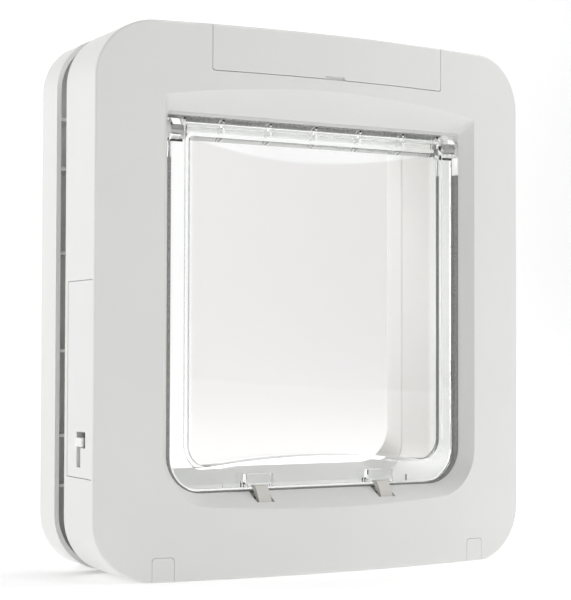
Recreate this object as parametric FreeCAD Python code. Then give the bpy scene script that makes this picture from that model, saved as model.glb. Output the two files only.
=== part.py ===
import FreeCAD, Part
import math
import os

V = FreeCAD.Vector

# Pet door with two frames that clamp a door between them, all sizes in millimetres.
# X runs across the door, Y runs from the room side to the garden side, Z is up.
# The origin is under the middle of the whole pair, on the surface that both frames stand on.

# Both frames, seen from the front
width = 262.0
height = 286.0
corner_radius = 30.5
wall = 2.5
edge_round = 1.4

# Depths, measured along Y at the frames' straight sides
inner_bulge = 15.5
inner_side_depth = 39.5
plate_thickness = 3.5
door_gap = 14.0
outer_side_depth = 22.5
outer_bulge = 15.5

# Way through, where the dished surround of the room side ends
side_margin = 40.4
top_margin = 45.0
sill_height = 43.4
opening_low_radius = 20.0
opening_high_radius = 2.0
lip_depth = 1.0
side_slope = 0.66
top_slope = 0.86
low_slope = 0.53

# Tunnel
tunnel_step = 0.9
tunnel_wall = 2.2
sleeve_insert = 8.0
sleeve_clearance = 0.5
collar_wall = 2.8
outer_sill_rise = 17.0
outer_slope = 0.6
outer_lip_depth = 2.0

# Flap
flap_side_gap = 2.6
flap_low_gap = 1.0
flap_thickness = 4.0
flap_setback = 1.7
flap_low_radius = 17.6
flap_edge_round = 1.1
rim_width = 10.4
rim_low_height = 12.5
rim_low_arch = 4.2
window_radius = 11.5
bead_width = 2.4
bead_height = 1.5
pane_thickness = 2.2
pane_bow = 9.0
roof_drop = 9.0
floor_rise = 2.5
window_top_drop = 12.2
hinge_drop = 9.0
hinge_setback = 5.0
barrel_radius = 4.6
shelf_rise = 4.4
shelf_depth = 8.4
shelf_thickness = 1.8
fin_radius = 7.0
fin_thickness = 1.2
fin_pitch = 28.1
end_fin_inset = 9.0
knuckle_radius = 6.2
knuckle_width = 8.0
lintel_height = 2.5
lintel_thickness = 1.2
lintel_setback = 0.4
pin_radius = 2.0
pin_in_flap = 7.4
pin_in_frame = 5.0
running_clearance = 0.05

# Locking catches
catch_spacing = 74.8
catch_width = 7.4
catch_slot_width = 10.4
finger_radius = 30.6
finger_thickness = 3.0
finger_tip_rise = 3.2
finger_round = 0.8
pivot_drop = 17.4
pivot_setback = 19.0
catch_shaft_radius = 3.0
catch_hub_radius = 6.0
rim_gap = 0.4
pocket_wall = 1.2
pocket_reach = 4.2
pocket_height = 8.2
pocket_side_gap = 3.0
pocket_top_gap = 0.6
groove_inset = 31.0
lever_length = 9.0
lever_thickness = 3.0
lever_gap = 0.4
bush_wall = 2.0
bearing_thickness = 4.0
bearing_offset = 9.0
far_bearing_offset = 11.0
shaft_overrun = 5.0
shaft_end_gap = 2.5
motor_length = 34.0
motor_height = 22.0
coupling_length = 6.0
coupling_radius = 4.2
spindle_radius = 1.5

# Draught seal
seal_depth = 5.0
seal_gap = 0.4
seal_setback = 0.3
seal_top_drop = 24.0

# Battery compartment
cover_overhang = 13.8
cover_height = 24.4
cover_back = 28.0
cover_gap = 0.35
cover_back_gap = 0.5
cover_corner = 1.5
cover_barrel_radius = 1.0
cover_pin_radius = 0.6
cover_pin_length = 1.5
cover_hinge_width = 10.0
cover_hinge_inset = 12.0
notch_width = 11.6
notch_height = 1.5
tray_wall = 1.6
tray_depth_front = 8.0
tray_height = 17.5
cell_radius = 7.1
cell_length = 49.3
cell_gap = 0.4
nub_radius = 2.75
nub_length = 1.2
spring_length = 4.3
contact_thickness = 0.6
contact_size = 11.0
button_radius = 3.0
button_height = 2.6
button_travel = 0.8
light_radius = 1.5
board_thickness = 1.6
board_drop = 7.2
board_width = 104.0
board_depth = 30.0
switch_size = 6.0
switch_height = 3.4
lamp_height = 1.2
chip_size = 12.0
chip_height = 1.6
can_radius = 3.2
can_height = 6.0

# Side panel and lock slider
panel_top = 153.0
panel_bottom = 52.0
panel_front = 2.4
panel_recess = 0.3
panel_gap = 0.3
panel_thickness = 1.6
panel_flange = 2.5
slot_back = 23.1
slot_wide = 11.5
slot_narrow = 5.2
slot_top = 75.7
slot_step = 67.5
slot_bottom = 57.5
slider_width = 10.0
slider_height = 4.7
slider_plate = 1.1
slider_gap = 0.3
slider_travel = 10.0
rod_thickness = 3.0
rod_inset = 13.0
rod_width = 4.4
guide_rise = 24.0
guide_height = 6.0
guide_wall = 2.0

# Screws
screw_inset = 35.4
screw_height = 7.2
screw_radius = 2.4
screw_hole_radius = 2.75
screw_head_radius = 4.2
screw_head_height = 3.0
screw_seat = 18.0
boss_radius = 4.4
insert_radius = 3.4
insert_length = 9.0
screw_cover_width = 11.6
screw_cover_height = 12.5
screw_cover_back = 6.0
screw_cover_corner = 1.8
upper_screw_clearance = 2.4
upper_screw_drop = 12.0
case_screw_inset = 19.0
case_screw_low = 96.0
case_screw_high = 222.0
case_screw_radius = 1.4
case_boss_radius = 3.6
case_head_radius = 3.0
case_head_height = 2.0
case_screw_length = 29.5
case_bore_start = 4.0

# Garden-side ribs, measured from mid height, and the edge set back from the rim
rib_offsets = (26.0, 71.0, 97.5)
rib_thickness = 1.6
rib_setback = 3.0
rib_reach = 10.0

# Aerial winding round the tunnel
coil_depth = 6.0
coil_thickness = 3.2
coil_setback = 24.0
coil_gap = 0.3

# Worked-out planes and sizes
half_width = width / 2
overall_depth = inner_bulge + inner_side_depth + door_gap + outer_side_depth + outer_bulge
front_y = inner_bulge - overall_depth / 2
lip_y = front_y + lip_depth
inner_back_y = front_y + inner_side_depth
plate_y = inner_back_y - plate_thickness
rim_y = inner_back_y + door_gap
outer_back_y = rim_y + outer_side_depth
far_front = front_y - inner_bulge - 3
far_back = outer_back_y + outer_bulge + 3
half_opening = half_width - side_margin
opening_top = height - top_margin
half_tunnel = half_opening + tunnel_step
tunnel_low = sill_height - tunnel_step
tunnel_top = opening_top + tunnel_step
tunnel_low_radius = opening_low_radius + tunnel_step
tunnel_high_radius = opening_high_radius + tunnel_step
sleeve_end_y = rim_y + sleeve_insert
hinge_y = lip_y + hinge_setback
hinge_z = opening_top - hinge_drop
half_flap = half_opening - flap_side_gap
flap_low = sill_height + flap_low_gap
flap_front_y = lip_y + flap_setback
flap_back_y = flap_front_y + flap_thickness
pivot_y = lip_y + pivot_setback
pivot_z = sill_height - pivot_drop
cover_low = height - cover_height
tray_width = 2 * (cell_length + nub_length + spring_length + contact_thickness + tray_wall)
cover_width = tray_width + 2 * cover_overhang
tray_low = cover_low
board_top = tray_low - board_drop
mid_z = height / 2
guide_low = pivot_z + guide_rise


def block(x0, x1, y0, y1, z0, z1):
    return Part.makeBox(x1 - x0, y1 - y0, z1 - z0, V(x0, y0, z0))


def rod_x(x0, x1, y, z, radius):
    return Part.makeCylinder(radius, x1 - x0, V(x0, y, z), V(1, 0, 0))


def rod_y(x, y0, y1, z, radius):
    return Part.makeCylinder(radius, y1 - y0, V(x, y0, z), V(0, 1, 0))


def rod_z(x, y, z0, z1, radius):
    return Part.makeCylinder(radius, z1 - z0, V(x, y, z0), V(0, 0, 1))


def side_prism(points, x0, x1):
    """A straight-sided outline in the YZ plane, drawn out along X."""
    corners = [V(x0, y, z) for y, z in points]
    wire = Part.makePolygon(corners + corners[:1])
    return Part.Face(wire).extrude(V(x1 - x0, 0, 0))


def outline(half, z0, z1, low_radius, high_radius, y):
    """A rounded rectangle facing along Y, with its own radius at the bottom and at the top."""
    diagonal = math.sqrt(0.5)
    corners = (
        (1, z0, 1, low_radius),
        (1, z1, -1, high_radius),
        (-1, z1, -1, high_radius),
        (-1, z0, 1, low_radius),
    )
    starts, ends, arcs = [], [], []
    for side, z, up, radius in corners:
        centre = V(side * (half - radius), y, z + up * radius)
        level = centre + V(0, 0, -up * radius)
        upright = centre + V(side * radius, 0, 0)
        middle = centre + V(side * radius * diagonal, 0, -up * radius * diagonal)
        turn = (level, upright) if side * up > 0 else (upright, level)
        starts.append(turn[0])
        ends.append(turn[1])
        arcs.append(Part.Arc(turn[0], middle, turn[1]).toShape())
    edges = []
    for index in range(4):
        edges.append(arcs[index])
        edges.append(Part.makeLine(ends[index], starts[(index + 1) % 4]))
    return Part.Wire(edges)


def slab(half, z0, z1, low_radius, high_radius, y0, y1):
    face = Part.Face(outline(half, z0, z1, low_radius, high_radius, y0))
    return face.extrude(V(0, y1 - y0, 0))


def taper(near, far):
    """A solid with straight sides between two outlines."""
    return Part.makeLoft([near, far], True, True)


def arc_radius(bulge):
    return (half_width ** 2 + bulge ** 2) / (2 * bulge)


def drum(bulge, edge_y, facing, inset):
    """The upright drum whose face gives a frame its bowed front."""
    radius = arc_radius(bulge)
    axis_y = edge_y + facing * bulge - facing * radius
    return rod_z(0, axis_y, -5, height + 5, radius - inset)


def case_form(bulge, edge_y, facing, back_y, inset):
    """A frame's outer form, or the hollow inside it when inset is the wall."""
    reach = edge_y + facing * (bulge + 1)
    form = slab(
        half_width - inset,
        inset,
        height - inset,
        corner_radius - inset,
        corner_radius - inset,
        min(reach, back_y),
        max(reach, back_y),
    )
    return form.common(drum(bulge, edge_y, facing, inset))


def round_bowed_edge(form, bulge):
    radius = arc_radius(bulge)
    for face in form.Faces:
        surface = face.Surface
        if isinstance(surface, Part.Cylinder) and abs(surface.Radius - radius) < 0.01:
            return form.makeFillet(edge_round, face.Edges)
    return form


def dish(grow):
    """The dished surround's space, or with grow the space and the wall round it."""
    run = lip_y - far_front
    near = outline(
        half_opening + grow,
        sill_height - grow,
        opening_top + grow,
        opening_low_radius + grow,
        opening_high_radius + grow,
        lip_y,
    )
    far = outline(
        half_opening + grow + side_slope * run,
        sill_height - grow - low_slope * run,
        opening_top + grow + top_slope * run,
        opening_low_radius + grow + low_slope * run,
        opening_high_radius + grow,
        far_front,
    )
    return taper(near, far)


def finger_space(x, half, clearance):
    """Where a catch's finger passes the sill, with room round it."""
    ring = rod_x(x - half, x + half, pivot_y, pivot_z, finger_radius + clearance)
    ahead = block(x - half, x + half, far_front, flap_front_y, pivot_z, sill_height + 8)
    return ring.common(ahead)


def screw_places():
    """The four long screws that pull the two frames together."""
    low_x = half_width - screw_inset
    high_x = tray_width / 2 + boss_radius + upper_screw_clearance
    high_z = height - upper_screw_drop
    return (
        (-low_x, screw_height),
        (low_x, screw_height),
        (-high_x, high_z),
        (high_x, high_z),
    )


def case_screw_places():
    x = half_width - case_screw_inset
    return [(side * x, z) for side in (-1, 1) for z in (case_screw_low, case_screw_high)]


def edges_along_y(shape, low, high):
    found = []
    for edge in shape.Edges:
        box = edge.BoundBox
        if box.YLength > 1 and box.XLength < 0.01 and low < box.ZMin < high:
            found.append(edge)
    return found


def cover_space(gap, back_gap):
    half = cover_width / 2 - gap
    space = block(-half, half, far_front, front_y + cover_back - back_gap,
                  cover_low + gap, height + 5)
    return space.makeFillet(cover_corner, edges_along_y(space, 0, height))


def screw_cover_space(x, gap):
    half = screw_cover_width / 2 - gap
    space = block(x - half, x + half, far_front, front_y + screw_cover_back - gap,
                  -1, screw_cover_height - gap)
    return space.makeFillet(screw_cover_corner, edges_along_y(space, 1, height))


def cover_hinge_y():
    return front_y + cover_back + cover_barrel_radius


def cover_hinge_z():
    return height - cover_barrel_radius


def cover_hinge_places():
    x = cover_width / 2 - cover_hinge_inset
    return (-x, x)


def case_shell():
    outer = case_form(inner_bulge, front_y, -1, plate_y, 0)
    outer = round_bowed_edge(outer, inner_bulge)
    hollow = case_form(inner_bulge, front_y, -1, plate_y + 1, wall)
    return outer.cut(hollow)


def panel_space(gap):
    """The window in the left side wall that takes the side panel."""
    return block(-half_width - 1, -half_width + wall, front_y + panel_front + gap, plate_y,
                 panel_bottom + gap, panel_top - gap)


def build_inner_fascia():
    form = case_form(inner_bulge, front_y, -1, plate_y, 0)
    fascia = case_shell().fuse(dish(wall).common(form)).cut(dish(0))
    for x, z in case_screw_places():
        reach = drum(inner_bulge, front_y, -1, wall / 2)
        boss = rod_y(x, far_front, plate_y, z, case_boss_radius).common(reach)
        fascia = fascia.fuse(boss)
    for x, z in case_screw_places():
        fascia = fascia.cut(rod_y(x, front_y + case_bore_start, plate_y + 1, z,
                                  case_screw_radius))
    fascia = fascia.cut(cover_space(0, 0))
    fascia = fascia.cut(panel_space(0))
    for x in cover_hinge_places():
        half = cover_hinge_width / 2 + cover_gap
        y = cover_hinge_y()
        notch = block(x - half, x + half, y - 3, y + cover_barrel_radius + 0.5,
                      height - wall - 1, height + 1)
        hole = half + cover_pin_length + 0.2
        pins = rod_x(x - hole, x + hole, y, cover_hinge_z(), cover_pin_radius + running_clearance)
        fascia = fascia.cut(notch).cut(pins)
    for side in (-1, 1):
        fascia = fascia.cut(screw_cover_space(side * (half_width - screw_inset), 0))
        fascia = fascia.cut(finger_space(side * catch_spacing / 2, catch_slot_width / 2, 0.5))
    return fascia.removeSplitter()


def build_battery_cover():
    """The lid over the cells: it wraps the top edge and turns on two barrels at its back."""
    half_notch = notch_width / 2
    cover = case_shell().common(cover_space(cover_gap, cover_back_gap))
    notch = block(-half_notch, half_notch, far_front, front_y - inner_bulge + wall * 0.6,
                  cover_low - 1, cover_low + cover_gap + notch_height)
    cover = cover.cut(notch)
    for x in cover_hinge_places():
        half = cover_hinge_width / 2
        y = cover_hinge_y()
        z = cover_hinge_z()
        tab = block(x - half, x + half, y - 3, y, z - cover_barrel_radius, height)
        barrel = rod_x(x - half, x + half, y, z, cover_barrel_radius)
        end = half + cover_gap + cover_pin_length
        pins = rod_x(x - end, x + end, y, z, cover_pin_radius)
        cover = cover.fuse(tab).fuse(barrel).fuse(pins)
    return cover.removeSplitter()


def build_screw_cover(side):
    space = screw_cover_space(side * (half_width - screw_inset), 0.2)
    return case_shell().common(space)


def build_inner_chassis():
    plate = slab(half_width, 0, height, corner_radius, corner_radius, plate_y, inner_back_y)
    sleeve = slab(
        half_tunnel + tunnel_wall,
        tunnel_low - tunnel_wall,
        tunnel_top + tunnel_wall,
        tunnel_low_radius + tunnel_wall,
        tunnel_high_radius + tunnel_wall,
        lip_y,
        sleeve_end_y,
    )
    passage = slab(
        half_tunnel,
        tunnel_low,
        tunnel_top,
        tunnel_low_radius,
        tunnel_high_radius,
        lip_y - 1,
        sleeve_end_y + 1,
    )
    chassis = plate.fuse(sleeve).cut(passage)
    lintel_y = lip_y + lintel_setback
    lintel = block(-half_tunnel - 1, half_tunnel + 1, lintel_y, lintel_y + lintel_thickness,
                   tunnel_top - lintel_height, tunnel_top + 1)
    chassis = chassis.fuse(lintel).fuse(rod_guide())
    boss_outer = half_tunnel + tunnel_wall + 3
    boss_inner = half_flap + rim_gap
    for side in (-1, 1):
        ends = sorted((side * boss_inner, side * boss_outer))
        boss = rod_x(ends[0], ends[1], hinge_y, hinge_z, barrel_radius)
        chassis = chassis.fuse(boss)
    for x, z in screw_places():
        chassis = chassis.fuse(rod_y(x, front_y + screw_seat, plate_y, z, boss_radius))
    for x in bearing_places():
        web = block(x - bearing_thickness / 2, x + bearing_thickness / 2, pivot_y - bush_seat(),
                    plate_y, pivot_z - bush_seat(), pivot_z + bush_seat())
        chassis = chassis.fuse(web)
    for side in (-1, 1):
        ends = sorted((side * boss_inner, side * (half_flap + pin_in_frame + 3)))
        bore = rod_x(ends[0] - 1, ends[1] + 1, hinge_y, hinge_z, pin_radius + running_clearance)
        chassis = chassis.cut(bore)
        slot = finger_space(side * catch_spacing / 2, catch_slot_width / 2, 0.5)
        chassis = chassis.cut(slot)
    for x in bearing_places():
        hole = rod_x(x - bearing_thickness, x + bearing_thickness, pivot_y, pivot_z,
                     catch_shaft_radius + bush_wall)
        chassis = chassis.cut(hole)
    for x, z in screw_places():
        chassis = chassis.cut(rod_y(x, front_y, inner_back_y + 1, z, screw_hole_radius))
    for x, z in case_screw_places():
        chassis = chassis.cut(rod_y(x, plate_y - 1, inner_back_y + 1, z, case_screw_radius))
        head = rod_y(x, inner_back_y - case_head_height, inner_back_y + 1, z, case_head_radius)
        chassis = chassis.cut(head)
    return chassis.removeSplitter()


def rod_guide():
    """The bracket on the back plate that the lock rod slides in."""
    x0 = rod_left_x()
    x1 = x0 + rod_thickness
    y = slider_centre_y()
    half = rod_width / 2 + slider_gap
    z1 = guide_low + guide_height
    body = block(x0 - slider_gap - guide_wall, x1 + slider_gap + guide_wall,
                 y - half - guide_wall, plate_y, guide_low, z1)
    return body.cut(block(x0 - slider_gap, x1 + slider_gap, y - half, y + half,
                          guide_low - 1, z1 + 1))


def bush_seat():
    return catch_shaft_radius + bush_wall + 2.5


def bearing_places():
    """Where the catch shaft is carried, across the frame."""
    near = (catch_spacing + catch_width) / 2 + bearing_offset
    return (-half_width + rod_inset + far_bearing_offset, -near, near)


def build_shaft_bushes():
    bushes = []
    for x in bearing_places():
        x0 = x - bearing_thickness / 2
        x1 = x + bearing_thickness / 2
        ring = rod_x(x0, x1, pivot_y, pivot_z, catch_shaft_radius + bush_wall)
        ring = ring.cut(rod_x(x0 - 1, x1 + 1, pivot_y, pivot_z,
                              catch_shaft_radius + running_clearance))
        bushes.append(ring)
    return Part.makeCompound(bushes)


def shaft_right_end():
    return bearing_places()[2] + bearing_thickness / 2 + shaft_overrun


def shaft_left_end():
    return rod_left_x() - shaft_end_gap


def build_catch_shaft():
    """A round shaft with a short lever near its left end, under the lock rod's foot."""
    shaft = rod_x(shaft_left_end(), shaft_right_end(), pivot_y, pivot_z, catch_shaft_radius)
    half = lever_thickness / 2
    lever = block(rod_left_x(), rod_left_x() + rod_thickness, pivot_y, pivot_y + lever_length,
                  pivot_z - half, pivot_z + half)
    return shaft.fuse(lever).removeSplitter()


def catch_tip_z():
    return sill_height + finger_tip_rise


def build_catch(side):
    """A curved finger on a hub: its outer face is an arc about the shaft."""
    x = side * catch_spacing / 2
    x0 = x - catch_width / 2
    x1 = x + catch_width / 2
    ring = rod_x(x0, x1, pivot_y, pivot_z, finger_radius)
    ring = ring.cut(rod_x(x0 - 1, x1 + 1, pivot_y, pivot_z, finger_radius - finger_thickness))
    root_z = pivot_z + 4
    window = block(x0, x1, pivot_y - finger_radius - 1, flap_front_y - rim_gap,
                   root_z, catch_tip_z())
    finger = ring.common(window)
    tip = [e for e in finger.Edges if e.BoundBox.ZMin > catch_tip_z() - 0.01
           and e.BoundBox.XLength > catch_width / 2]
    front = min(tip, key=lambda e: e.BoundBox.YMin)
    finger = finger.makeFillet(finger_round, [front])
    reach = finger_radius - finger_thickness / 2
    arm = block(x0, x1, pivot_y - reach, pivot_y, pivot_z, root_z + 3)
    arm = arm.common(rod_x(x0, x1, pivot_y, pivot_z, finger_radius - 0.01))
    hub = rod_x(x0 - 1.5, x1 + 1.5, pivot_y, pivot_z, catch_hub_radius)
    catch = finger.fuse(arm).fuse(hub)
    catch = catch.cut(rod_x(x0 - 3, x1 + 3, pivot_y, pivot_z, catch_shaft_radius))
    return catch.removeSplitter()


def motor_left_end():
    return shaft_right_end() + coupling_length / 2 + 1


def build_shaft_coupling():
    """A sleeve on the shaft's end with the gearbox spindle in its other half."""
    x0 = shaft_right_end() - coupling_length / 2
    x1 = shaft_right_end() + coupling_length / 2
    sleeve = rod_x(x0, x1, pivot_y, pivot_z, coupling_radius)
    sleeve = sleeve.cut(rod_x(x0 - 1, shaft_right_end(), pivot_y, pivot_z, catch_shaft_radius))
    spindle = rod_x(x1, motor_left_end() + 5, pivot_y, pivot_z, spindle_radius)
    return sleeve.fuse(spindle).removeSplitter()


def build_catch_motor():
    """A small gear motor, screwed to the back plate by its foot."""
    x0 = motor_left_end()
    half = motor_height / 2
    gearbox = block(x0, x0 + motor_length * 0.4, pivot_y - half, pivot_y + half,
                    pivot_z - half, pivot_z + half * 0.6)
    can = rod_x(x0 + motor_length * 0.4, x0 + motor_length, pivot_y, pivot_z - half * 0.2,
                half * 0.78)
    foot = block(x0, x0 + motor_length * 0.4, pivot_y + half, plate_y,
                 pivot_z - half * 0.6, pivot_z + half * 0.4)
    motor = gearbox.fuse(can).fuse(foot)
    motor = motor.cut(rod_x(x0 - 1, x0 + 6, pivot_y, pivot_z, spindle_radius + running_clearance))
    return motor.removeSplitter()


def window_arch(grow, y0, y1):
    """The rise in the middle of the window's lower edge, an arc between its corners."""
    reach = half_flap - rim_width - window_radius
    radius = (reach ** 2 + rim_low_arch ** 2) / (2 * rim_low_arch)
    axis_z = flap_low + rim_low_height + rim_low_arch - radius
    return rod_y(0, y0, y1, axis_z, radius - grow)


def pane_body(grow):
    """The bowed tray of the pane: grow gives its outside, none its inside."""
    half = half_flap - rim_width
    edge_y = flap_front_y + flap_thickness * 0.4
    radius = (half ** 2 + pane_bow ** 2) / (2 * pane_bow)
    axis_y = edge_y + pane_bow - radius
    low = flap_low + rim_low_height
    top = opening_top - window_top_drop
    depth = pane_bow + edge_y - flap_front_y
    drum_solid = rod_z(0, axis_y, low - 5, top + 5, radius + grow)
    front = flap_front_y - bead_height - 1
    back = flap_front_y + depth + 5
    z0, z1 = low - grow, top + grow
    window = slab(half + grow, z0, z1, window_radius + grow, 2.0 + grow, front, back)
    window = window.cut(window_arch(grow, front - 1, back + 1))
    slope = roof_drop / depth
    rise = floor_rise / depth
    start = flap_front_y
    side_view = side_prism(
        (
            (front, z0),
            (start, z0),
            (back, z0 + rise * (back - start)),
            (back, z1 - slope * (back - start)),
            (start, z1),
            (front, z1),
        ),
        -half - grow - 1,
        half + grow + 1,
    )
    return window.common(drum_solid).common(side_view)


def build_flap():
    shelf_top = hinge_z + shelf_rise
    rim = slab(half_flap, flap_low, shelf_top, flap_low_radius, 0.5, flap_front_y, flap_back_y)
    edges = [e for e in rim.Edges if e.BoundBox.YLength < 0.01
             and e.BoundBox.ZMax < shelf_top - 0.6]
    rim = rim.makeFillet(flap_edge_round, edges)
    bead = slab(
        half_flap - rim_width + bead_width,
        flap_low + rim_low_height - bead_width,
        opening_top - window_top_drop + bead_width,
        window_radius + bead_width,
        2.0 + bead_width,
        flap_front_y - bead_height,
        flap_front_y + 1,
    )
    bead = bead.cut(window_arch(bead_width, far_front, outer_back_y))
    shelf = block(-half_flap, half_flap, flap_front_y, flap_front_y + shelf_depth,
                  shelf_top - shelf_thickness, shelf_top)
    front_edges = [e for e in shelf.Edges if e.BoundBox.YMax < flap_front_y + 0.01
                   and e.BoundBox.ZMin > shelf_top - 0.01]
    shelf = shelf.makeFillet(shelf_thickness / 2, front_edges)
    for side in (-1, 1):
        ends = sorted((side * (half_flap - knuckle_width), side * half_flap))
        shelf = shelf.fuse(rod_x(ends[0], ends[1], hinge_y, hinge_z, knuckle_radius))
    tray = pane_body(pane_thickness)
    behind = block(-half_flap, half_flap, flap_front_y + flap_thickness / 4, outer_back_y,
                   flap_low, hinge_z)
    flap = rim.fuse(bead).fuse(shelf).fuse(tray.common(behind))
    flap = flap.cut(pane_body(0))
    for x in fin_places():
        disc = rod_x(x - fin_thickness / 2, x + fin_thickness / 2, hinge_y, hinge_z, fin_radius)
        upper = block(x - fin_thickness, x + fin_thickness, hinge_y - 1, hinge_y + fin_radius,
                      hinge_z, hinge_z + fin_radius)
        flap = flap.fuse(disc.common(upper))
    for side in (-1, 1):
        flap = flap.fuse(build_striker(side * catch_spacing / 2))
    flap = flap.cut(lower_groove())
    for side in (-1, 1):
        ends = sorted((side * (half_flap - pin_in_flap), side * (half_flap + 1)))
        flap = flap.cut(rod_x(ends[0], ends[1], hinge_y, hinge_z, pin_radius))
    return flap.removeSplitter()


def fin_places():
    end = half_flap - end_fin_inset
    return (-end, -2 * fin_pitch, -fin_pitch, 0, fin_pitch, 2 * fin_pitch, end)


def build_striker(x):
    """The clear box on the lower rim that a raised catch stands in."""
    inner = catch_width / 2 + pocket_side_gap
    half = inner + pocket_wall
    front = flap_front_y - pocket_reach
    top = flap_low + pocket_height
    body = block(x - half, x + half, front, flap_front_y + 0.5, flap_low + flap_edge_round, top)
    room = block(x - inner, x + inner, front - 1, flap_front_y,
                 flap_low, catch_tip_z() + pocket_top_gap)
    return body.cut(room)


def lower_groove():
    """A shallow groove along the foot of the rim, between and beside the strikers."""
    reach = half_flap - groove_inset
    clear = catch_width / 2 + pocket_side_gap + pocket_wall + 1
    inner = catch_spacing / 2 - clear
    outer = catch_spacing / 2 + clear
    parts = []
    for x0, x1 in ((-reach, -outer), (-inner, inner), (outer, reach)):
        parts.append(block(x0, x1, flap_front_y - 1, flap_front_y + 1.2,
                           flap_low + 1.2, flap_low + 4.6))
    return parts[0].fuse(parts[1:])


def build_hinge_pin(side):
    ends = sorted((side * (half_flap - pin_in_flap), side * (half_flap + pin_in_frame)))
    return rod_x(ends[0], ends[1], hinge_y, hinge_z, pin_radius)


def build_draught_seal():
    """A dark pile strip down both sides of the tunnel and along its floor."""
    y0 = lip_y + seal_setback
    y1 = y0 + seal_depth
    top = opening_top - seal_top_drop
    outer = slab(half_tunnel, tunnel_low, opening_top, tunnel_low_radius, 1.0, y0, y1)
    inner = slab(half_flap + seal_gap, flap_low - seal_gap, opening_top + 1,
                 flap_low_radius + seal_gap, 1.0, y0 - 1, y1 + 1)
    strip = outer.cut(inner).common(block(-half_width, half_width, y0 - 1, y1 + 1, 0, top))
    for side in (-1, 1):
        strip = strip.cut(finger_space(side * catch_spacing / 2,
                                       catch_width / 2 + seal_gap, seal_gap))
    return strip


def build_reader_coil():
    y0 = front_y + coil_setback
    y1 = y0 + coil_depth
    grow = tunnel_wall + coil_gap
    inner = slab(half_tunnel + grow, tunnel_low - grow, tunnel_top + grow,
                 tunnel_low_radius + grow, tunnel_high_radius + grow, y0 - 1, y1 + 1)
    grow = grow + coil_thickness
    outer = slab(half_tunnel + grow, tunnel_low - grow, tunnel_top + grow,
                 tunnel_low_radius + grow, tunnel_high_radius + grow, y0, y1)
    return outer.cut(inner)


def outer_dish(grow):
    y0 = outer_back_y + outer_lip_depth
    run = far_back - y0
    spread = outer_slope * run
    low = tunnel_low + outer_sill_rise * (y0 - sleeve_end_y) / (far_back - sleeve_end_y)
    near = outline(half_tunnel + grow, low - grow, tunnel_top + grow,
                   tunnel_low_radius + grow, tunnel_high_radius + grow, y0)
    far = outline(half_tunnel + grow + spread, low - grow - spread, tunnel_top + grow + spread,
                  tunnel_low_radius + grow + spread, tunnel_high_radius + grow + spread, far_back)
    return taper(near, far)


def outer_passage(grow):
    """The way through the garden-side frame: its floor climbs towards the outside."""
    start = sleeve_end_y + sleeve_clearance
    near = outline(half_tunnel + grow, tunnel_low - grow, tunnel_top + grow,
                   tunnel_low_radius + grow, tunnel_high_radius + grow, start)
    far = outline(half_tunnel + grow, tunnel_low + outer_sill_rise - grow, tunnel_top + grow,
                  tunnel_low_radius + grow, tunnel_high_radius + grow, far_back)
    return taper(near, far)


def collar(grow, y0, y1):
    return slab(half_tunnel + grow, tunnel_low - grow, tunnel_top + grow,
                tunnel_low_radius + grow, tunnel_high_radius + grow, y0, y1)


def outer_ribs():
    """Short stiffening ribs that stand in from the shell's side, top and bottom walls."""
    ribs = []
    y0 = rim_y + rib_setback
    y1 = outer_back_y + outer_bulge
    half = rib_thickness / 2
    side_x = half_width - wall / 2
    for offset in rib_offsets:
        for z in (mid_z - offset, mid_z + offset):
            for side in (-1, 1):
                ends = sorted((side * side_x, side * (half_width - wall - rib_reach)))
                ribs.append(block(ends[0], ends[1], y0, y1, z - half, z + half))
    for share in (0.25, 0.5):
        for x in (-share * half_width, share * half_width):
            ribs.append(block(x - half, x + half, y0, y1, wall / 2, wall + rib_reach))
            ribs.append(block(x - half, x + half, y0, y1, height - wall - rib_reach,
                              height - wall / 2))
    return ribs


def build_outer_frame():
    """A bowed shell open towards the door, with a collar that takes the tunnel's end."""
    form = case_form(outer_bulge, outer_back_y, 1, rim_y, 0)
    hollow = case_form(outer_bulge, outer_back_y, 1, rim_y - 1, wall)
    clear = tunnel_wall + sleeve_clearance
    socket_y = sleeve_end_y + sleeve_clearance
    frame = round_bowed_edge(form, outer_bulge).cut(hollow)
    frame = frame.fuse(collar(clear + collar_wall, rim_y, socket_y + wall))
    frame = frame.fuse(outer_passage(wall).common(form))
    frame = frame.fuse(outer_dish(wall).common(form))
    for rib in outer_ribs():
        frame = frame.fuse(rib.common(form))
    for x, z in screw_places():
        boss = rod_y(x, rim_y, far_back, z, boss_radius + 1).common(form)
        frame = frame.fuse(boss)
    frame = frame.cut(collar(clear, rim_y - 1, socket_y))
    frame = frame.cut(outer_passage(0)).cut(outer_dish(0))
    for x, z in screw_places():
        frame = frame.cut(rod_y(x, rim_y - 1, rim_y + insert_length, z, insert_radius))
        frame = frame.cut(rod_y(x, rim_y, rim_y + insert_length + 4, z, screw_hole_radius))
    return frame.removeSplitter()


def build_screw_inserts():
    inserts = []
    for x, z in screw_places():
        body = rod_y(x, rim_y, rim_y + insert_length, z, insert_radius)
        inserts.append(body.cut(rod_y(x, rim_y - 1, rim_y + insert_length + 1, z, screw_radius)))
    return Part.makeCompound(inserts)


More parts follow.
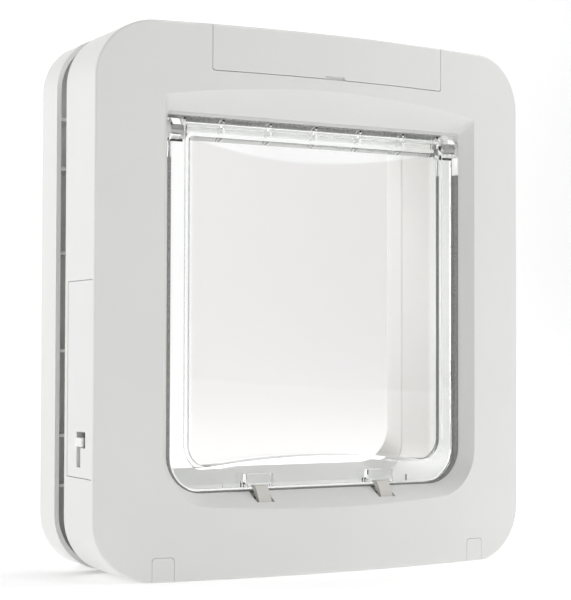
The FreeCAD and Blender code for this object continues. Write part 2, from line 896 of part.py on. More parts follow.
def build_fixing_screws():
    screws = []
    seat = front_y + screw_seat
    for x, z in screw_places():
        shank = rod_y(x, seat, rim_y + insert_length + 2, z, screw_radius)
        head = rod_y(x, seat - screw_head_height, seat, z, screw_head_radius)
        rims = [e for e in head.Edges if e.BoundBox.YMax < seat - 1 and e.BoundBox.XLength > 1]
        head = head.makeChamfer(screw_head_height * 0.3, rims)
        reach = screw_head_radius * 0.6
        front = seat - screw_head_height - 1
        bottom = seat - screw_head_height * 0.5
        slot = block(x - 0.6, x + 0.6, front, bottom, z - reach, z + reach)
        cross = block(x - reach, x + reach, front, bottom, z - 0.6, z + 0.6)
        recess = slot.fuse(cross).removeSplitter()
        screws.append(head.fuse(shank).removeSplitter().cut(recess))
    return Part.makeCompound(screws)


def build_case_screws():
    screws = []
    for x, z in case_screw_places():
        shank = rod_y(x, inner_back_y - case_screw_length, inner_back_y - case_head_height,
                      z, case_screw_radius)
        head = rod_y(x, inner_back_y - case_head_height, inner_back_y - 0.2, z,
                     case_head_radius - 0.3)
        slot = block(x - 0.4, x + 0.4, inner_back_y - 1, inner_back_y + 1, z - 2, z + 2)
        screws.append(head.fuse(shank).cut(slot).removeSplitter())
    return Part.makeCompound(screws)


def tray_front_y():
    return front_y - tray_depth_front


def cell_rows():
    """The two rows of cells, one behind the other."""
    back = plate_y - tray_wall - cell_gap - cell_radius
    return (back - 2 * cell_radius - cell_gap, back)


def cell_z():
    return tray_low + tray_wall + cell_radius


def build_battery_tray():
    half = tray_width / 2
    y0 = tray_front_y()
    body = block(-half, half, y0, plate_y, tray_low, tray_low + tray_height)
    body = body.common(drum(inner_bulge, front_y, -1, wall + 1))
    row_front = cell_rows()[0] - cell_radius - cell_gap
    bay = block(-half + tray_wall, half - tray_wall, row_front, plate_y - tray_wall,
                tray_low + tray_wall, tray_low + tray_height + 1)
    ledge = block(-half - 1, half + 1, y0 - 1, row_front - tray_wall, tray_low + tray_wall,
                  tray_low + tray_height + 1)
    tray = body.cut(bay).cut(ledge)
    for side in (-1, 1):
        x = side * (board_width / 2 - 6)
        for y in board_post_rows():
            tray = tray.fuse(rod_z(x, y, board_top, tray_low + tray_wall / 2, 2.5))
    tray = tray.cut(rod_z(0, button_y(), tray_low - 1, tray_low + tray_wall + 1,
                          button_radius + 0.3))
    tray = tray.cut(rod_z(light_x(), button_y(), tray_low - 1, tray_low + tray_wall + 1,
                          light_radius))
    return tray.removeSplitter()


def board_post_rows():
    return (board_back_y() - board_depth + 5, board_back_y() - 5)


def board_back_y():
    return plate_y - 2


def button_y():
    return tray_front_y() + 4.6


def light_x():
    return button_radius + 8


def build_program_button():
    """A cap above the tray floor with a stem that reaches the switch on the board."""
    y = button_y()
    cap_low = tray_low + tray_wall + button_travel + 0.3
    cap = rod_z(0, y, cap_low, cap_low + button_height, button_radius + 1)
    cap = cap.makeChamfer(0.6, [e for e in cap.Edges if e.BoundBox.ZMin > cap_low + 1
                                and e.BoundBox.XLength > 1])
    stem_low = board_top + switch_height + button_travel + 0.2
    stem = rod_z(0, y, stem_low, cap_low, button_radius)
    return cap.fuse(stem).removeSplitter()


def build_status_light():
    lens = rod_z(light_x(), button_y(), board_top + lamp_height, tray_low + tray_wall + 1,
                 light_radius)
    dome = Part.makeSphere(light_radius, V(light_x(), button_y(), tray_low + tray_wall + 1))
    return lens.fuse(dome).removeSplitter()


def build_control_board():
    """A circuit board with its larger components, under the battery tray."""
    half = board_width / 2
    front = button_y() - switch_size
    base = block(-half, half, front, board_back_y(), board_top - board_thickness, board_top)
    base = base.common(drum(inner_bulge, front_y, -1, wall + 1))
    switch_half = switch_size / 2
    switch = block(-switch_half, switch_half, button_y() - switch_half,
                   button_y() + switch_half, board_top, board_top + switch_height)
    lamp = rod_z(light_x(), button_y(), board_top, board_top + lamp_height, light_radius * 1.3)
    chip_y = board_back_y() - board_depth / 2
    chips = []
    for share in (-0.5, 0.4):
        x = share * half
        chips.append(block(x - chip_size / 2, x + chip_size / 2, chip_y - chip_size / 2,
                           chip_y + chip_size / 2, board_top, board_top + chip_height))
    cans = [rod_z(side * can_radius * 1.3, chip_y, board_top, board_top + can_height, can_radius)
            for side in (-1, 1)]
    return base.fuse([switch, lamp] + chips + cans).removeSplitter()


def build_battery_cells():
    cells = []
    z = cell_z()
    for row, y in enumerate(cell_rows()):
        for index in (-1, 1):
            turn = 1 if row == 0 else -1
            whole = cell_length + nub_length
            x0 = -whole if index < 0 else 0
            if turn > 0:
                body = rod_x(x0, x0 + cell_length, y, z, cell_radius)
                nub = rod_x(x0 + cell_length, x0 + whole, y, z, nub_radius)
            else:
                body = rod_x(x0 + nub_length, x0 + whole, y, z, cell_radius)
                nub = rod_x(x0, x0 + nub_length, y, z, nub_radius)
            cells.append(body.fuse(nub).removeSplitter())
    return Part.makeCompound(cells)


def build_battery_contacts():
    """A sprung plate at each end of each row."""
    plates = []
    z = cell_z()
    half = contact_size / 2
    end = tray_width / 2 - tray_wall
    cell_end = cell_length + nub_length
    for y in cell_rows():
        for side in (-1, 1):
            ends = sorted((side * end, side * (end - contact_thickness)))
            plate = block(ends[0], ends[1], y - half, y + half, z - half, z + half)
            step = cell_end + spring_length / 2
            wide = sorted((side * (end - contact_thickness), side * step))
            slim = sorted((side * step, side * cell_end))
            coil = rod_x(wide[0], wide[1], y, z, half * 0.7)
            tip = rod_x(slim[0], slim[1], y, z, half * 0.42)
            plates.append(plate.fuse(coil).fuse(tip).removeSplitter())
    return Part.makeCompound(plates)


def panel_face_x():
    return -half_width + panel_recess


def slot_space(x0, x1):
    back = front_y + slot_back
    wide = block(x0, x1, back - slot_wide, back, slot_step, slot_top)
    narrow = block(x0, x1, back - slot_narrow, back, slot_bottom, slot_top)
    return wide.fuse(narrow)


def build_side_panel():
    """The panel in the left side wall, held from inside by its flange."""
    field = panel_space(panel_gap).common(
        block(panel_face_x(), -half_width + wall, far_front, plate_y, 0, height))
    flange_x = -half_width + wall
    flange = block(flange_x, flange_x + panel_thickness, front_y + panel_front + panel_gap,
                   plate_y, panel_bottom - panel_flange, panel_top + panel_flange)
    panel = field.fuse(flange)
    panel = panel.cut(slot_space(-half_width - 1, flange_x + panel_thickness + 1))
    return panel.removeSplitter()


def slider_centre_y():
    return front_y + slot_back - slot_narrow / 2


def rod_left_x():
    return -half_width + rod_inset


def slider_low():
    return slot_step + 0.7


def build_lock_slider():
    """A thumb plate outside the panel on a stem through the narrow slot."""
    back = front_y + slot_back - slider_gap
    low = slider_low()
    head_back = panel_face_x() - slider_gap
    head_front = head_back - slider_plate
    plate = block(head_front, head_back, back - slider_width, back, low, low + slider_height)
    plate = plate.makeFillet(0.5, [e for e in plate.Edges if e.BoundBox.XMax < head_back - 0.5])
    stem_half = slot_narrow / 2 - slider_gap
    y = slider_centre_y()
    stem = block(head_back - 0.2, rod_left_x(), y - stem_half, y + stem_half,
                 low + 0.4, low + slider_height - 0.4)
    return plate.fuse(stem).removeSplitter()


def build_lock_rod():
    """The slider's rod: pushed down, its foot stands over the shaft's lever and locks it."""
    x0 = rod_left_x()
    x1 = x0 + rod_thickness
    y = slider_centre_y()
    half = rod_width / 2
    top = slider_low() + slider_height + 2
    foot_low = pivot_z + lever_thickness / 2 + lever_gap + slider_travel
    crown = pivot_z + catch_shaft_radius + slider_travel + 1
    blade = block(x0, x1, y - half, y + half, crown, top)
    bridge = block(x0, x1, y - half, pivot_y + lever_length, crown, crown + rod_width)
    foot = block(x0, x1, pivot_y + lever_length / 2, pivot_y + lever_length,
                 foot_low, crown + rod_width)
    return blade.fuse(bridge).fuse(foot).removeSplitter()


def save(name, shape):
    shape.exportStep("parts/" + name + ".step")
    print(name, shape.isValid(), len(shape.Solids), round(shape.Volume / 1000, 2), "cm3")


os.makedirs("parts", exist_ok=True)

save("inner_fascia", build_inner_fascia())
save("inner_chassis", build_inner_chassis())
save("side_panel", build_side_panel())
save("battery_cover", build_battery_cover())
save("battery_tray", build_battery_tray())
save("battery_cells", build_battery_cells())
save("battery_contacts", build_battery_contacts())
save("control_board", build_control_board())
save("program_button", build_program_button())
save("status_light", build_status_light())
save("reader_coil", build_reader_coil())
save("screw_cover_left", build_screw_cover(-1))
save("screw_cover_right", build_screw_cover(1))
save("catch_left", build_catch(-1))
save("catch_right", build_catch(1))
save("catch_shaft", build_catch_shaft())
save("shaft_bushes", build_shaft_bushes())
save("shaft_coupling", build_shaft_coupling())
save("catch_motor", build_catch_motor())
save("lock_slider", build_lock_slider())
save("lock_rod", build_lock_rod())
save("flap", build_flap())
save("hinge_pin_left", build_hinge_pin(-1))
save("hinge_pin_right", build_hinge_pin(1))
save("draught_seal", build_draught_seal())
save("outer_frame", build_outer_frame())
save("screw_inserts", build_screw_inserts())
save("fixing_screws", build_fixing_screws())
save("case_screws", build_case_screws())
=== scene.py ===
import math
import random

import bmesh
import bpy
from mathutils import Matrix, Vector


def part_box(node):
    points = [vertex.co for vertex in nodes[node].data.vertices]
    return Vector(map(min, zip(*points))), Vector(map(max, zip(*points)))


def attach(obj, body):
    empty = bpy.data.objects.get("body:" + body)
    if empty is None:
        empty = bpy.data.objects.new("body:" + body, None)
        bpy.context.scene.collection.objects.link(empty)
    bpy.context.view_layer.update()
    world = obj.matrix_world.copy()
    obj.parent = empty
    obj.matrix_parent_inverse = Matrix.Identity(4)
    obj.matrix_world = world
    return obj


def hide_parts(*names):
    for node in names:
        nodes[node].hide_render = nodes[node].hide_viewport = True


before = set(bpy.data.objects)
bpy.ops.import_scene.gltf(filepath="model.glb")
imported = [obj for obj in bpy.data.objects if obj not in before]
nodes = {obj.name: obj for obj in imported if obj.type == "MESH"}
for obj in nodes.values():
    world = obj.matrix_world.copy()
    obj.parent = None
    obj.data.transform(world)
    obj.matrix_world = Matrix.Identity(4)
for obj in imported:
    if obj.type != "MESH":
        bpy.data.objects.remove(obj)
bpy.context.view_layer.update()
rng = random.Random(7)

scene = bpy.context.scene
scene.view_settings.view_transform = "Standard"

MM = 0.001

# The flap's window at rest, in metres: half its width, its foot and head at the middle, and how
# far each is arched.
PANE_HALF = 0.0745
PANE_LOW = 0.0613
PANE_HIGH = 0.2201
FOOT_ARCH = 0.0042
ROOF_ARCH = 0.0087
PANE_SIDE_SOFT = 1.0 * MM
PANE_END_SOFT = 0.7 * MM

ACRYLIC_IOR = 1.49

# Length of one band of the wave texture at scale 1
WAVE_LENGTH = 0.314

# Distance from the middle at which a cell's sleeve turns light, and half the change's width
SLEEVE_BAND = 37.37 * MM
SLEEVE_SOFT = 0.53 * MM


# Material helpers

def new_material(name):
    """A material with one Principled shader."""
    mat = bpy.data.materials.new(name)
    mat.use_nodes = True
    tree = mat.node_tree
    tree.nodes.clear()
    out = tree.nodes.new("ShaderNodeOutputMaterial")
    bsdf = tree.nodes.new("ShaderNodeBsdfPrincipled")
    tree.links.new(bsdf.outputs[0], out.inputs[0])
    return mat, tree, bsdf


def object_coordinates(tree):
    return tree.nodes.new("ShaderNodeTexCoord").outputs["Object"]


def coordinates(tree, scale=(1, 1, 1)):
    """Object coordinates, stretched."""
    mapping = tree.nodes.new("ShaderNodeMapping")
    mapping.inputs["Scale"].default_value = scale
    tree.links.new(object_coordinates(tree), mapping.inputs["Vector"])
    return mapping.outputs["Vector"]


def axes(tree, vector):
    """The X, Y and Z of a vector."""
    split = tree.nodes.new("ShaderNodeSeparateXYZ")
    tree.links.new(vector, split.inputs[0])
    return split.outputs["X"], split.outputs["Y"], split.outputs["Z"]


def noise(tree, vector, scale, detail=3.0, rough=0.5):
    tex = tree.nodes.new("ShaderNodeTexNoise")
    tex.inputs["Scale"].default_value = scale
    tex.inputs["Detail"].default_value = detail
    tex.inputs["Roughness"].default_value = rough
    tree.links.new(vector, tex.inputs["Vector"])
    return tex.outputs["Fac"]


def wave(tree, vector, scale, profile="SIN"):
    """Bands that follow each other along Y."""
    tex = tree.nodes.new("ShaderNodeTexWave")
    tex.bands_direction = "Y"
    tex.wave_profile = profile
    tex.inputs["Scale"].default_value = scale
    tree.links.new(vector, tex.inputs["Vector"])
    return tex.outputs["Fac"]


def ramp(tree, fac, stops):
    node = tree.nodes.new("ShaderNodeValToRGB")
    elements = node.color_ramp.elements
    for element, (pos, color) in zip(elements, stops):
        element.position = pos
        element.color = (*color, 1.0)
    tree.links.new(fac, node.inputs["Fac"])
    return node.outputs["Color"]


def spread(tree, fac, low, high):
    node = tree.nodes.new("ShaderNodeMapRange")
    node.inputs["To Min"].default_value = low
    node.inputs["To Max"].default_value = high
    tree.links.new(fac, node.inputs["Value"])
    return node.outputs["Result"]


def bump(tree, height, strength, distance):
    node = tree.nodes.new("ShaderNodeBump")
    node.inputs["Strength"].default_value = strength
    node.inputs["Distance"].default_value = distance
    tree.links.new(height, node.inputs["Height"])
    return node.outputs["Normal"]


def step(tree, value, edge, soft, rising=True):
    """1 on one side of an edge and 0 on the other, with a soft change."""
    node = tree.nodes.new("ShaderNodeMapRange")
    node.inputs["From Min"].default_value = edge - soft
    node.inputs["From Max"].default_value = edge + soft
    node.inputs["To Min"].default_value = 0.0 if rising else 1.0
    node.inputs["To Max"].default_value = 1.0 if rising else 0.0
    tree.links.new(value, node.inputs["Value"])
    return node.outputs["Result"]


def product(tree, first, second):
    node = tree.nodes.new("ShaderNodeMath")
    node.operation = "MULTIPLY"
    tree.links.new(first, node.inputs[0])
    tree.links.new(second, node.inputs[1])
    return node.outputs[0]


def between(tree, value, low, high, soft):
    """1 where the value lies between low and high, with soft edges."""
    return product(tree, step(tree, value, low, soft),
                   step(tree, value, high, soft, rising=False))


def arched(tree, height, across, rise):
    """Height less a parabola that grows by rise at the pane's sides."""
    node = tree.nodes.new("ShaderNodeMath")
    node.operation = "MULTIPLY_ADD"
    node.inputs[1].default_value = -rise / PANE_HALF ** 2
    tree.links.new(product(tree, across, across), node.inputs[0])
    tree.links.new(height, node.inputs[2])
    return node.outputs[0]


def tint(color, by):
    return tuple(min(1.0, max(0.0, c * by)) for c in color)


def moulded(name, color, rough=(0.38, 0.5), grain=0.12):
    """Injection-moulded plastic: a fine even grain, faint cloudiness and an uneven polish."""
    mat, tree, bsdf = new_material(name)
    vector = coordinates(tree)
    cloud = noise(tree, vector, scale=14.0, detail=2.0)
    polish = noise(tree, vector, scale=60.0)
    pits = noise(tree, vector, scale=1500.0, detail=2.0)
    shades = [(0.3, tint(color, 0.988)), (0.7, tint(color, 1.012))]
    tree.links.new(ramp(tree, cloud, shades), bsdf.inputs["Base Color"])
    tree.links.new(spread(tree, polish, *rough), bsdf.inputs["Roughness"])
    tree.links.new(bump(tree, pits, strength=grain, distance=0.1 * MM), bsdf.inputs["Normal"])
    return mat


def clear_plastic(name, color, pane_color=None, rough=0.015):
    """Clear moulding: real refraction and a faint ripple. The pane may be smokier than its rim."""
    mat, tree, bsdf = new_material(name)
    vector = coordinates(tree)
    bsdf.inputs["Transmission Weight"].default_value = 1.0
    bsdf.inputs["IOR"].default_value = ACRYLIC_IOR
    if pane_color:
        x, _, z = axes(tree, vector)
        across = between(tree, x, -PANE_HALF, PANE_HALF, PANE_SIDE_SOFT)
        above = step(tree, arched(tree, z, x, -FOOT_ARCH), PANE_LOW, PANE_END_SOFT)
        below = step(tree, arched(tree, z, x, ROOF_ARCH), PANE_HIGH, PANE_END_SOFT, rising=False)
        fac = product(tree, across, product(tree, above, below))
        tree.links.new(ramp(tree, fac, [(0.0, color), (1.0, pane_color)]),
                       bsdf.inputs["Base Color"])
    else:
        bsdf.inputs["Base Color"].default_value = (*color, 1.0)
    haze = noise(tree, vector, scale=40.0, detail=2.0)
    swell = noise(tree, vector, scale=22.0, detail=1.0)
    tree.links.new(spread(tree, haze, low=rough, high=rough + 0.02), bsdf.inputs["Roughness"])
    tree.links.new(bump(tree, swell, strength=0.03, distance=0.4 * MM), bsdf.inputs["Normal"])
    return mat


def metal(name, color, rough=(0.25, 0.4)):
    """Drawn or turned metal with fine uneven marks."""
    mat, tree, bsdf = new_material(name)
    marks = noise(tree, coordinates(tree), scale=400.0, detail=4.0, rough=0.6)
    bsdf.inputs["Metallic"].default_value = 1.0
    shades = [(0.3, tint(color, 0.88)), (0.7, tint(color, 1.05))]
    tree.links.new(ramp(tree, marks, shades), bsdf.inputs["Base Color"])
    tree.links.new(spread(tree, marks, *rough), bsdf.inputs["Roughness"])
    tree.links.new(bump(tree, marks, strength=0.2, distance=0.1 * MM), bsdf.inputs["Normal"])
    return mat


def threaded(name, color, pitch, start, end):
    """Plated steel with a screw thread between two places along Y."""
    mat, tree, bsdf = new_material(name)
    vector = object_coordinates(tree)
    bands = wave(tree, vector, WAVE_LENGTH / pitch, profile="TRI")
    along = axes(tree, vector)[1]
    height = product(tree, bands, between(tree, along, start, end, soft=0.5 * MM))
    bsdf.inputs["Metallic"].default_value = 1.0
    # Painted shade: the base colour darkens where the thread's height is low, in its roots, and is
    # the same darker colour off the thread.
    tree.links.new(ramp(tree, height, [(0.0, tint(color, 0.75)), (0.7, color)]),
                   bsdf.inputs["Base Color"])
    polish = noise(tree, vector, scale=300.0)
    tree.links.new(spread(tree, polish, low=0.28, high=0.42), bsdf.inputs["Roughness"])
    tree.links.new(bump(tree, height, strength=1.0, distance=0.4 * MM), bsdf.inputs["Normal"])
    return mat


def pile(name, color):
    """Short dull pile in uneven tufts."""
    mat, tree, bsdf = new_material(name)
    tufts = noise(tree, coordinates(tree), scale=900.0, detail=4.0, rough=0.7)
    bsdf.inputs["Roughness"].default_value = 0.95
    bsdf.inputs["Specular IOR Level"].default_value = 0.1
    bsdf.inputs["Sheen Weight"].default_value = 0.25
    bsdf.inputs["Sheen Roughness"].default_value = 0.6
    tree.links.new(ramp(tree, tufts, [(0.3, tint(color, 0.6)), (0.7, tint(color, 1.5))]),
                   bsdf.inputs["Base Color"])
    tree.links.new(bump(tree, tufts, strength=0.8, distance=0.6 * MM), bsdf.inputs["Normal"])
    return mat


def circuit(name):
    """Green board lacquer with paler tracks."""
    mat, tree, bsdf = new_material(name)
    cells = tree.nodes.new("ShaderNodeTexVoronoi")
    cells.feature = "DISTANCE_TO_EDGE"
    cells.inputs["Scale"].default_value = 260.0
    tree.links.new(coordinates(tree, (1, 1, 0.01)), cells.inputs["Vector"])
    bsdf.inputs["Roughness"].default_value = 0.35
    shades = [(0.02, (0.05, 0.22, 0.10)), (0.09, (0.015, 0.11, 0.045))]
    tree.links.new(ramp(tree, cells.outputs["Distance"], shades), bsdf.inputs["Base Color"])
    return mat


def winding(name, color):
    """Lacquered wire, turn beside turn."""
    mat, tree, bsdf = new_material(name)
    turns = wave(tree, coordinates(tree), scale=700.0)
    bsdf.inputs["Roughness"].default_value = 0.4
    bsdf.inputs["Metallic"].default_value = 0.6
    # Painted shade: the colour darkens to half in the troughs between the turns.
    tree.links.new(ramp(tree, turns, [(0.2, tint(color, 0.5)), (0.8, color)]),
                   bsdf.inputs["Base Color"])
    tree.links.new(bump(tree, turns, strength=0.4, distance=0.2 * MM), bsdf.inputs["Normal"])
    return mat


def cell_sleeve(name):
    """A plain shrink sleeve with a lighter band at the outer end of each cell."""
    mat, tree, bsdf = new_material(name)
    bsdf.inputs["Roughness"].default_value = 0.3
    bsdf.inputs["Metallic"].default_value = 0.35
    outwards = tree.nodes.new("ShaderNodeMath")
    outwards.operation = "ABSOLUTE"
    tree.links.new(axes(tree, object_coordinates(tree))[0], outwards.inputs[0])
    band = step(tree, outwards.outputs[0], SLEEVE_BAND, SLEEVE_SOFT)
    shades = [(0.0, (0.045, 0.05, 0.055)), (1.0, (0.42, 0.4, 0.36))]
    tree.links.new(ramp(tree, band, shades), bsdf.inputs["Base Color"])
    return mat


# Finishes

PLATED = (0.62, 0.62, 0.6)
case_white = moulded("case_white", (0.838, 0.840, 0.822))
frame_white = moulded("frame_white", (0.852, 0.857, 0.841))
panel_white = moulded("panel_white", (0.841, 0.846, 0.834), rough=(0.34, 0.44))
slider_white = moulded("slider_white", (0.92, 0.92, 0.90), rough=(0.25, 0.35), grain=0.05)
catch_beige = moulded("catch_beige", (0.67, 0.652, 0.608), rough=(0.4, 0.5), grain=0.1)
inner_grey = moulded("inner_grey", (0.26, 0.27, 0.27), rough=(0.45, 0.55))
bearing_plastic = moulded("bearing_plastic", (0.70, 0.67, 0.57), rough=(0.4, 0.5))
button_grey = moulded("button_grey", (0.10, 0.105, 0.115), rough=(0.3, 0.4), grain=0.05)
flap_clear = clear_plastic("flap_clear", (0.93, 0.935, 0.932), pane_color=(0.81, 0.80, 0.797))
light_clear = clear_plastic("light_clear", (0.7, 0.08, 0.05), rough=0.1)
steel = metal("steel", (0.56, 0.56, 0.57))
pin_steel = metal("pin_steel", (0.78, 0.78, 0.77), rough=(0.5, 0.62))
brass = metal("brass", (0.66, 0.5, 0.24))
motor_can = metal("motor_can", (0.42, 0.43, 0.44), rough=(0.35, 0.5))
nickel = metal("nickel", (0.66, 0.64, 0.58), rough=(0.2, 0.35))
seal_dark = pile("seal_dark", (0.29, 0.29, 0.272))
seal_light = pile("seal_light", (0.80, 0.80, 0.78))
long_screw = threaded("long_screw", PLATED, pitch=0.8 * MM, start=-4 * MM, end=50 * MM)
short_screw = threaded("short_screw", PLATED, pitch=0.6 * MM, start=-28 * MM, end=-2 * MM)

FINISH = {
    "inner_fascia": case_white,
    "inner_chassis": case_white,
    "side_panel": panel_white,
    "battery_cover": case_white,
    "battery_tray": inner_grey,
    "battery_cells": cell_sleeve("cell_sleeve"),
    "battery_contacts": nickel,
    "control_board": circuit("board_green"),
    "program_button": button_grey,
    "status_light": light_clear,
    "reader_coil": winding("copper_winding", (0.45, 0.2, 0.08)),
    "screw_cover_left": case_white,
    "screw_cover_right": case_white,
    "catch_left": catch_beige,
    "catch_right": catch_beige,
    "catch_shaft": steel,
    "shaft_bushes": bearing_plastic,
    "shaft_coupling": bearing_plastic,
    "catch_motor": motor_can,
    "lock_slider": slider_white,
    "lock_rod": slider_white,
    "flap": flap_clear,
    "hinge_pin_left": pin_steel,
    "hinge_pin_right": pin_steel,
    "draught_seal": seal_dark,
    "outer_frame": frame_white,
    "screw_inserts": brass,
    "fixing_screws": long_screw,
    "case_screws": short_screw,
}
for name, obj in nodes.items():
    for material_slot in obj.material_slots:
        material_slot.material = FINISH[name]


# Small detail on the same bodies as the pieces that carry it

def add_piece(name, bm, material, body, smooth=True):
    mesh = bpy.data.meshes.new(name)
    bm.to_mesh(mesh)
    bm.free()
    for poly in mesh.polygons:
        poly.use_smooth = smooth
    mesh.materials.append(material)
    obj = bpy.data.objects.new(name, mesh)
    scene.collection.objects.link(obj)
    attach(obj, body)
    return obj


def add_block(bm, low, high):
    """A box between two corners."""
    for vert in bmesh.ops.create_cube(bm, size=1.0)["verts"]:
        vert.co = Vector([low[i] if vert.co[i] < 0 else high[i] for i in range(3)])


def around(centre, across, other, radius, count):
    """Points evenly round a circle."""
    angles = [2 * math.pi * k / count for k in range(count)]
    return [centre + radius * (math.cos(a) * across + math.sin(a) * other) for a in angles]


def add_hair(bm, base, tip, radius):
    """A thin three-sided spike, closed at its foot."""
    along = (tip - base).normalized()
    across = along.orthogonal().normalized()
    foot = [bm.verts.new(p) for p in around(base, across, along.cross(across), radius, 3)]
    point = bm.verts.new(tip)
    bm.faces.new(reversed(foot))
    for k in range(3):
        bm.faces.new((foot[k], foot[(k + 1) % 3], point))


def add_wire(bm, points, radius):
    """A round wire along a line of points, closed at both ends."""
    sides = 6
    rings = []
    for i, point in enumerate(points):
        along = (points[min(i + 1, len(points) - 1)] - points[max(i - 1, 0)]).normalized()
        across = along.cross(Vector((1, 0, 0))).normalized()
        ring = around(point, across, along.cross(across), radius, sides)
        rings.append([bm.verts.new(p) for p in ring])
    for a, b in zip(rings, rings[1:]):
        for k in range(sides):
            bm.faces.new((a[k], a[(k + 1) % sides], b[(k + 1) % sides], b[k]))
    bm.faces.new(reversed(rings[0]))
    bm.faces.new(rings[-1])


def seal_path(half, low, radius, top, pitch):
    """Points and inward directions down one side, round the foot and up the other, in X and Z."""
    points = [(-half, top - k * pitch, 1.0, 0.0) for k in range(int((top - low - radius) / pitch))]
    corner = int(math.pi / 2 * radius / pitch)
    for k in range(corner + 1):
        angle = math.pi / 2 * k / corner
        points.append((-half + radius - radius * math.cos(angle),
                       low + radius - radius * math.sin(angle),
                       math.cos(angle), math.sin(angle)))
    points += [(-x, z, -dx, dz) for x, z, dx, dz in points]
    for k in range(1, int(2 * (half - radius) / pitch)):
        points.append((-half + radius + k * pitch, low, 0.0, 1.0))
    return points


# Hairs of the pile strip, from its backing towards the flap's edge, but not where a catch passes

HAIR_PITCH = 0.42 * MM
HAIR_RADIUS = 0.11 * MM
HAIR_FOOT = 2.3 * MM
HAIR_TIP = 0.35 * MM
ROWS = 3
FIRST_ROW = 0.25 * MM
ROW_PITCH = 0.5 * MM
STRIP_END = 0.3 * MM
FLAP_CORNER = 17.6 * MM
CATCH_ROOM = 1.2 * MM

seal_low, seal_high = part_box("draught_seal")
flap_low, flap_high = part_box("flap")
catch_boxes = [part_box(name) for name in ("catch_left", "catch_right")]
path = seal_path(flap_high[0] + HAIR_FOOT, flap_low[2] - HAIR_FOOT, FLAP_CORNER + HAIR_FOOT,
                 seal_high[2] - STRIP_END, HAIR_PITCH)
bm = bmesh.new()
for x, z, dx, dz in path:
    at_catch = any(low[0] - CATCH_ROOM < x < high[0] + CATCH_ROOM for low, high in catch_boxes)
    if at_catch and z < flap_low[2]:
        continue
    for row in range(ROWS):
        y = seal_low[1] + FIRST_ROW + ROW_PITCH * row + rng.uniform(-0.15, 0.15) * MM
        base = Vector((x, y, z))
        reach = HAIR_FOOT - HAIR_TIP - rng.uniform(0.0, 0.5) * MM
        slip = rng.uniform(-0.35, 0.35) * MM
        lean = rng.uniform(-0.1, 0.5) * MM
        tip = base + Vector((dx * reach - dz * slip, lean, dz * reach + dx * slip))
        add_hair(bm, base, tip, HAIR_RADIUS)
seal_hairs = add_piece("seal_hairs", bm, seal_dark, "housing", smooth=False)

# Top run of the strip under the way's ceiling: a backing, a core and hanging hairs

CEILING = 241.9 * MM
TOP_RUN_FRONT = -24.4 * MM
TOP_RUN_BACK = -22.0 * MM
TOP_RUN_FOOT = 236.9 * MM
BACKING = 1.6 * MM
CORE_END = 0.3 * MM
CORE_INSET = 0.5 * MM
CORE_FOOT = 0.9 * MM
CORE_ROOT = 1.4 * MM
HAIR_ROOT = 1.5 * MM
RUN_END = 0.6 * MM
TOP_ROWS = 4
TOP_FIRST_ROW = 0.35 * MM
TOP_ROW_PITCH = 0.55 * MM
TOP_HAIR_RADIUS = 1.3 * HAIR_RADIUS

half_run = flap_high[0] - RUN_END
bm = bmesh.new()
add_block(bm, (-half_run, TOP_RUN_FRONT, CEILING - BACKING), (half_run, TOP_RUN_BACK, CEILING))
add_block(bm, (-half_run + CORE_END, TOP_RUN_FRONT + CORE_INSET, TOP_RUN_FOOT + CORE_FOOT),
          (half_run - CORE_END, TOP_RUN_BACK - CORE_INSET, CEILING - CORE_ROOT))
for k in range(int(2 * half_run / HAIR_PITCH)):
    for row in range(TOP_ROWS):
        x = -half_run + (k + 0.5 + rng.uniform(-0.3, 0.3)) * HAIR_PITCH
        y = TOP_RUN_FRONT + TOP_FIRST_ROW + TOP_ROW_PITCH * row + rng.uniform(-0.1, 0.1) * MM
        foot = TOP_RUN_FOOT + rng.uniform(0.0, 0.5) * MM
        tip_x = x + rng.uniform(-0.4, 0.4) * MM
        tip_y = y + rng.uniform(-0.1, 0.1) * MM
        add_hair(bm, Vector((x, y, CEILING - HAIR_ROOT)), Vector((tip_x, tip_y, foot)),
                 TOP_HAIR_RADIUS)
top_run = add_piece("seal_top_run", bm, seal_light, "housing", smooth=False)

# Contact plates with a coiled spring on each, which stand for the plain plates

PLATE = 0.6 * MM
WIRE = 0.32 * MM
TURNS = 3.5
STEPS_PER_TURN = 22
FLAT_PART = 0.12
RISING_PART = 0.76
WIDE_END = 0.7
TAPER = 0.32
SMALL_FACE = 2 * MM * MM

contact_low, contact_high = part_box("battery_contacts")
cells_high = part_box("battery_cells")[1]
half_plate = (contact_high[2] - contact_low[2]) / 2
middle_z = contact_low[2] + half_plate
plate_inner = contact_high[0] - PLATE
spring_length = plate_inner - cells_high[0] - 2 * WIRE


def spring_point(side, y, part):
    """A point of the spring, whose flat ends lie on the plate and on the cell."""
    rise = WIRE + spring_length * min(1.0, max(0.0, (part - FLAT_PART) / RISING_PART))
    angle = 2 * math.pi * TURNS * part
    radius = half_plate * (WIDE_END - TAPER * part)
    return Vector((side * (plate_inner - rise), y + radius * math.cos(angle),
                   middle_z + radius * math.sin(angle)))


steps = TURNS * STEPS_PER_TURN
bm = bmesh.new()
for y in (contact_low[1] + half_plate, contact_high[1] - half_plate):
    for side in (-1, 1):
        ends = sorted((side * contact_high[0], side * plate_inner))
        add_block(bm, (ends[0], y - half_plate, contact_low[2]),
                  (ends[1], y + half_plate, contact_high[2]))
        points = [spring_point(side, y, k / steps) for k in range(int(steps) + 1)]
        add_wire(bm, points, WIRE)
springs = add_piece("contact_springs", bm, nickel, "housing")
for poly in springs.data.polygons:
    poly.use_smooth = poly.area < SMALL_FACE
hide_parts("battery_contacts")


# Floor, backdrop and light

FLOOR_FRONT = -4.0
FLOOR_BACK = 1.6
BACKDROP_BEND = 0.9
BACKDROP_TOP = 4.0
BACKDROP_ENDS = (-5.0, 7.0)
BEND_STEPS = 16
STAGE_GLOW = 0.28
ROOM_GLOW = 0.225


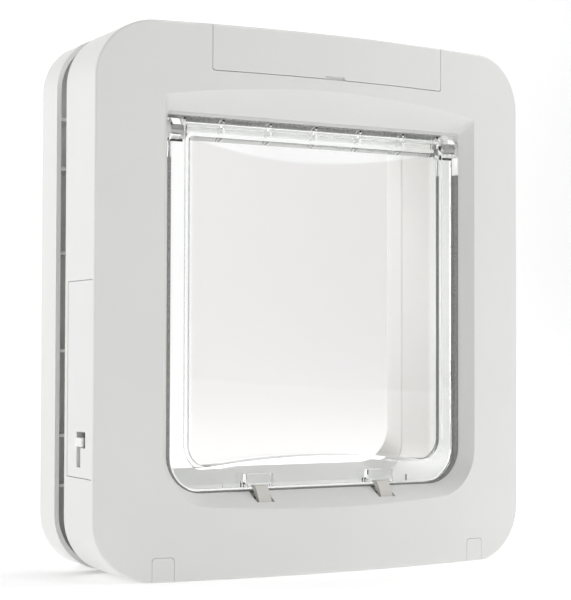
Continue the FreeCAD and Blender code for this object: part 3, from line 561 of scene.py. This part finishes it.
def stage_sheet():
    """A pale floor that curves up into a backdrop behind the object."""
    profile = [(FLOOR_FRONT, 0.0), (FLOOR_BACK, 0.0)]
    for k in range(1, BEND_STEPS + 1):
        angle = math.radians(90 * k / BEND_STEPS)
        profile.append((FLOOR_BACK + BACKDROP_BEND * math.sin(angle),
                        BACKDROP_BEND - BACKDROP_BEND * math.cos(angle)))
    profile.append((FLOOR_BACK + BACKDROP_BEND, BACKDROP_TOP))
    bm = bmesh.new()
    rows = [[bm.verts.new((x, y, z)) for y, z in profile] for x in BACKDROP_ENDS]
    for i in range(len(profile) - 1):
        bm.faces.new((rows[0][i], rows[1][i], rows[1][i + 1], rows[0][i + 1]))
    mesh = bpy.data.meshes.new("stage_sheet")
    bm.to_mesh(mesh)
    bm.free()
    for poly in mesh.polygons:
        poly.use_smooth = True
    obj = bpy.data.objects.new("stage_sheet", mesh)
    scene.collection.objects.link(obj)
    mat, tree, bsdf = new_material("stage_white")
    cloud = noise(tree, coordinates(tree), scale=1.2, detail=1.0)
    shades = [(0.3, (0.93, 0.93, 0.93)), (0.7, (0.95, 0.95, 0.95))]
    tree.links.new(ramp(tree, cloud, shades), bsdf.inputs["Base Color"])
    bsdf.inputs["Roughness"].default_value = 0.8
    bsdf.inputs["Specular IOR Level"].default_value = 0.1
    bsdf.inputs["Emission Color"].default_value = (1.0, 1.0, 1.0, 1.0)
    bsdf.inputs["Emission Strength"].default_value = STAGE_GLOW
    mesh.materials.append(mat)
    return obj


stage_sheet()

world = bpy.data.worlds.new("soft_room")
world.use_nodes = True
background = world.node_tree.nodes["Background"]
background.inputs[0].default_value = (1.0, 1.0, 1.0, 1.0)
background.inputs[1].default_value = ROOM_GLOW
scene.world = world


def area_light(name, place, target, size, power, fan=180):
    """A rectangular light that faces a target; fan is the angle that its rays keep within."""
    light = bpy.data.lights.new(name, "AREA")
    light.shape = "RECTANGLE"
    light.size, light.size_y = size
    light.energy = power
    light.spread = math.radians(fan)
    obj = bpy.data.objects.new(name, light)
    obj.location = place
    facing = Vector(target) - Vector(place)
    obj.rotation_euler = facing.to_track_quat("-Z", "Y").to_euler()
    scene.collection.objects.link(obj)


area_light("left_front", (-1.2, -1.4, 0.5), (0, 0, 0.14), (0.8, 0.8), 3.4)
area_light("left_back", (-1.3, 0.9, 0.4), (-0.1, 0, 0.14), (0.6, 0.6), 4.6)
area_light("left_high", (-0.9, 0.5, 0.9), (-0.13, 0.0, 0.33), (0.3, 0.3), 0.14, fan=50)
area_light("top_right", (1.4, -0.3, 1.5), (0, 0, 0.1), (0.8, 1.0), 14.4)
area_light("top_right_back", (1.2, 0.7, 1.5), (0, 0, 0.2), (0.8, 0.6), 3.6)
area_light("top_front", (0.4, -1.0, 1.6), (0, 0, 0.1), (0.8, 0.8), 6.4)
area_light("way_through", (-0.06, 0.55, 0.2), (0.09, 0.0, 0.14), (0.12, 0.3), 0.25, fan=50)
area_light("back_wall", (0.9, 1.3, 2.2), (0.9, 2.4, 0.6), (3.6, 1.0), 20)


# Camera, fitted to the photograph: focal length in pixels of its height, angles in radians

SENSOR = 36.0
PHOTO_HEIGHT = 600.0
FOCAL_PIXELS = 1636.9
YAW, PITCH, ROLL = 0.50222, 0.031706, 0.0025067

cam_data = bpy.data.cameras.new("photo_camera")
cam_data.sensor_width = SENSOR
cam_data.lens = FOCAL_PIXELS * SENSOR / PHOTO_HEIGHT
cam_data.clip_start = 0.01
cam_data.clip_end = 50.0
cam = bpy.data.objects.new("photo_camera", cam_data)
look = (Matrix.Rotation(-YAW, 3, "Z") @ Matrix.Rotation(math.pi / 2 + PITCH, 3, "X")
        @ Matrix.Rotation(ROLL, 3, "Z"))
cam.rotation_euler = look.to_euler()
cam.location = (-0.44149, -0.80266, 0.11667)
scene.collection.objects.link(cam)
scene.camera = cam
